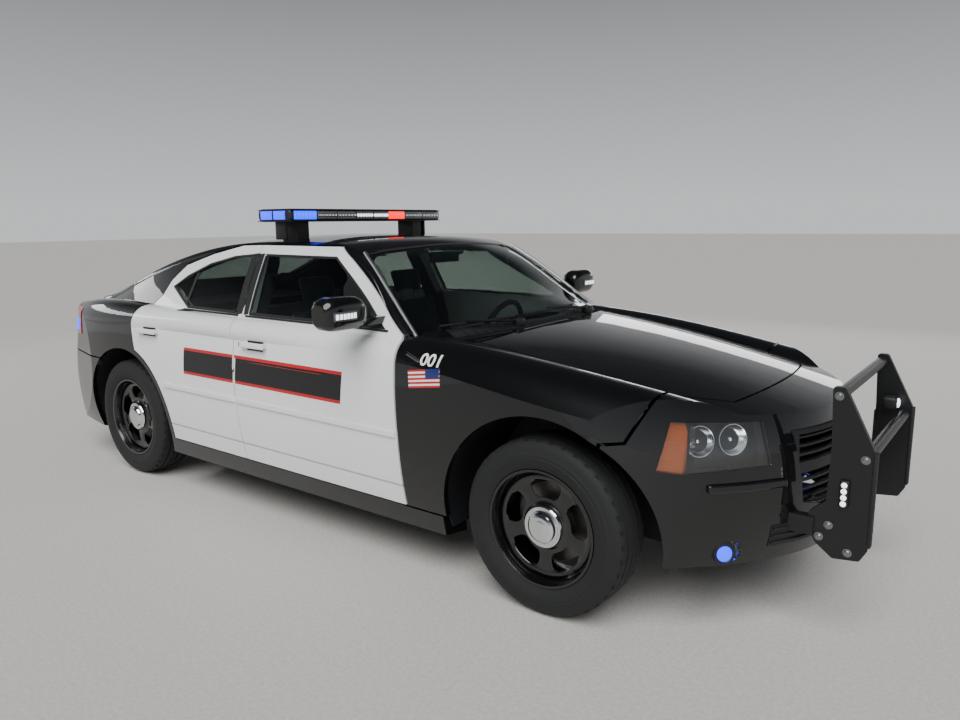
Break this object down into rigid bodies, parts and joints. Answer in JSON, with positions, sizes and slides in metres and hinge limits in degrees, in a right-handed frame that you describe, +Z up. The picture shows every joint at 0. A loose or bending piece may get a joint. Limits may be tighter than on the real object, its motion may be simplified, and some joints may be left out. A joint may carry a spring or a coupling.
{
  "type": "four-door patrol sedan",
  "caption": "Full-size four-door patrol sedan with opening doors, hood and trunk lid, steered front wheels, a push bumper and a roof light bar.",
  "frame": {"origin": "on the ground under the middle of the car's length, midway between the axles, on the centre plane", "axes": "+X to the car's front, +Y to its left, +Z up"},
  "size_m": [5.2228, 2.304, 1.636],
  "materials": {
    "black_paint": "gloss",
    "white_paint": "gloss",
    "glazing": "gloss",
    "lamp_glass": "gloss",
    "red_lens": "gloss",
    "black_plastic": "matte",
    "grille_metal": "satin",
    "cabin_plastic": "matte",
    "seat_cloth": "matte",
    "coated_steel": "satin",
    "chassis_steel": "matte",
    "engine_iron": "matte",
    "tyre_rubber": "matte",
    "rim_steel": "satin"
  },
  "bodies": {
    "root": {"body_side_right": "black_paint", "body_side_left": "black_paint", "roof_panel": "black_paint", "front_fenders": "black_paint", "front_bumper_cover": "black_paint", "rear_bumper_cover": "black_paint", "grille": "grille_metal", "headlamps": "lamp_glass", "tail_lamps": "red_lens", "fog_lamps": "lamp_glass", "windscreen": "glazing", "rear_window": "glazing", "push_bumper": "coated_steel", "light_bar": "black_plastic", "dashboard": "cabin_plastic", "front_seats": "seat_cloth", "rear_seat": "seat_cloth", "engine_block": "engine_iron", "exhaust": "chassis_steel", "fuel_tank": "black_plastic", "front_suspension": "chassis_steel", "rear_suspension": "chassis_steel", "cowl_panel": "black_plastic", "front_structure": "coated_steel", "rear_structure": "coated_steel", "front_wheel_houses": "black_plastic", "rear_wheel_houses": "black_plastic", "floor_pan": "coated_steel", "steering_column": "cabin_plastic", "interior_mirror": "cabin_plastic"},
    "hood": {"hood": "black_paint"},
    "trunk_lid": {"trunk_lid": "black_paint"},
    "steering_wheel": {"steering_wheel": "cabin_plastic"},
    "front_door_right": {"front_door_right": "white_paint", "front_window_right": "glazing", "door_mirror_right": "black_paint"},
    "rear_door_right": {"rear_door_right": "white_paint", "rear_door_window_right": "glazing"},
    "knuckle_right": {"knuckle_right": "chassis_steel"},
    "wheel_front_right": {"tyre_front_right": "tyre_rubber", "rim_front_right": "rim_steel"},
    "wheel_rear_right": {"tyre_rear_right": "tyre_rubber", "rim_rear_right": "rim_steel"},
    "front_door_left": {"front_door_left": "white_paint", "front_window_left": "glazing", "door_mirror_left": "black_paint"},
    "rear_door_left": {"rear_door_left": "white_paint", "rear_door_window_left": "glazing"},
    "knuckle_left": {"knuckle_left": "chassis_steel"},
    "wheel_front_left": {"tyre_front_left": "tyre_rubber", "rim_front_left": "rim_steel"},
    "wheel_rear_left": {"tyre_rear_left": "tyre_rubber", "rim_rear_left": "rim_steel"}
  },
  "joints": [
    {"name": "front_door_right_hinge", "type": "hinge", "parent": "root", "child": "front_door_right", "pos_m": [0.832, -0.945, 0.7], "axis": [0, 0, 1], "range_deg": [0, 65]},
    {"name": "rear_door_right_hinge", "type": "hinge", "parent": "root", "child": "rear_door_right", "pos_m": [-0.336, -0.945, 0.7], "axis": [0, 0, 1], "range_deg": [0, 65]},
    {"name": "front_door_left_hinge", "type": "hinge", "parent": "root", "child": "front_door_left", "pos_m": [0.832, 0.945, 0.7], "axis": [0, 0, -1], "range_deg": [0, 65]},
    {"name": "rear_door_left_hinge", "type": "hinge", "parent": "root", "child": "rear_door_left", "pos_m": [-0.336, 0.945, 0.7], "axis": [0, 0, -1], "range_deg": [0, 65]},
    {"name": "hood_hinge", "type": "hinge", "parent": "root", "child": "hood", "pos_m": [0.938, 0, 1.066], "axis": [0, -1, 0], "range_deg": [0, 50]},
    {"name": "trunk_lid_hinge", "type": "hinge", "parent": "root", "child": "trunk_lid", "pos_m": [-1.5, 0, 1.14], "axis": [0, 1, 0], "range_deg": [0, 75]},
    {"name": "steer_left", "type": "hinge", "parent": "root", "child": "knuckle_left", "pos_m": [1.524, 0.735, 0.3636], "axis": [0, 0, 1], "range_deg": [-33, 33]},
    {"name": "steer_right", "type": "hinge", "parent": "root", "child": "knuckle_right", "pos_m": [1.524, -0.735, 0.3636], "axis": [0, 0, 1], "range_deg": [-33, 33]},
    {"name": "steering_wheel_turn", "type": "hinge", "parent": "root", "child": "steering_wheel", "pos_m": [0.43, 0.37, 0.93], "axis": [-0.9135, 0, 0.4067], "range_deg": [-530, 530]},
    {"name": "wheel_front_left_spin", "type": "hinge", "parent": "knuckle_left", "child": "wheel_front_left", "pos_m": [1.524, 0.8015, 0.3636], "axis": [0, 1, 0], "continuous": true},
    {"name": "wheel_rear_left_spin", "type": "hinge", "parent": "root", "child": "wheel_rear_left", "pos_m": [-1.524, 0.8015, 0.3636], "axis": [0, 1, 0], "continuous": true},
    {"name": "wheel_front_right_spin", "type": "hinge", "parent": "knuckle_right", "child": "wheel_front_right", "pos_m": [1.524, -0.8015, 0.3636], "axis": [0, 1, 0], "continuous": true},
    {"name": "wheel_rear_right_spin", "type": "hinge", "parent": "root", "child": "wheel_rear_right", "pos_m": [-1.524, -0.8015, 0.3636], "axis": [0, 1, 0], "continuous": true}
  ],
  "couplings": [
    {"joint": "steer_right", "follows": "steer_left", "ratio": 1},
    {"joint": "steering_wheel_turn", "follows": "steer_left", "ratio": 16}
  ]
}
